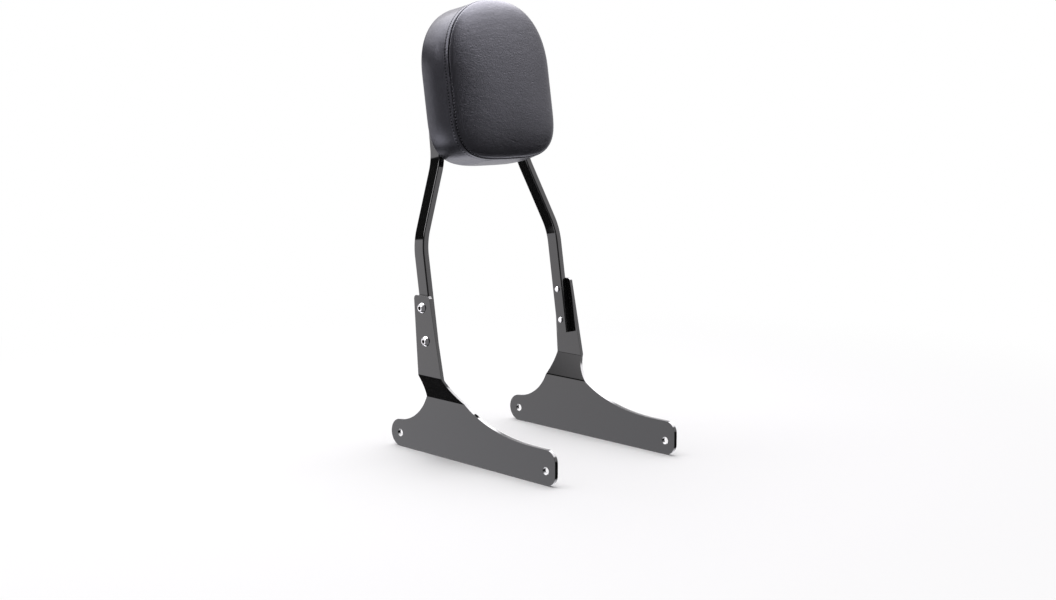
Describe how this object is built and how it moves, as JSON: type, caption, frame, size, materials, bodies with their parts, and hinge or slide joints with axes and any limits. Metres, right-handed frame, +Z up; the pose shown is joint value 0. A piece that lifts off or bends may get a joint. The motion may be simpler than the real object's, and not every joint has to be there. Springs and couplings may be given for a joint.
{
  "type": "motorbike sissy bar",
  "caption": "Passenger backrest: a leaning flat-bar hoop on joggled side plates that bolt to fender struts, with an upholstered pad.",
  "frame": {"origin": "midway between the side plates, at the middle of their four strut holes", "axes": "+Z up, -Y towards the front of the bike, +X towards the rider's left"},
  "size_m": [0.2704, 0.3125, 0.5919],
  "materials": {
    "gloss_black": "gloss",
    "chrome": "polished",
    "zinc_steel": "satin",
    "vinyl": "satin grained",
    "foam": "matte",
    "plywood": "matte",
    "back_panel": "fine grained"
  },
  "bodies": {
    "root": {"hoop": "gloss_black", "lower_cross_strap": "gloss_black", "upper_cross_strap": "gloss_black", "left_side_plate": "gloss_black", "right_side_plate": "gloss_black", "left_lower_plate_screw": "chrome", "left_upper_plate_screw": "chrome", "right_lower_plate_screw": "chrome", "right_upper_plate_screw": "chrome", "pad_base_board": "plywood", "pad_foam": "foam", "pad_front_panel": "vinyl", "pad_side_band": "vinyl", "pad_back_panel": "back_panel", "left_lower_tee_nut": "zinc_steel", "left_upper_tee_nut": "zinc_steel", "right_lower_tee_nut": "zinc_steel", "right_upper_tee_nut": "zinc_steel", "left_lower_pad_screw": "zinc_steel", "left_upper_pad_screw": "zinc_steel", "right_lower_pad_screw": "zinc_steel", "right_upper_pad_screw": "zinc_steel", "left_lower_washer": "zinc_steel", "left_upper_washer": "zinc_steel", "right_lower_washer": "zinc_steel", "right_upper_washer": "zinc_steel"}
  },
  "joints": []
}
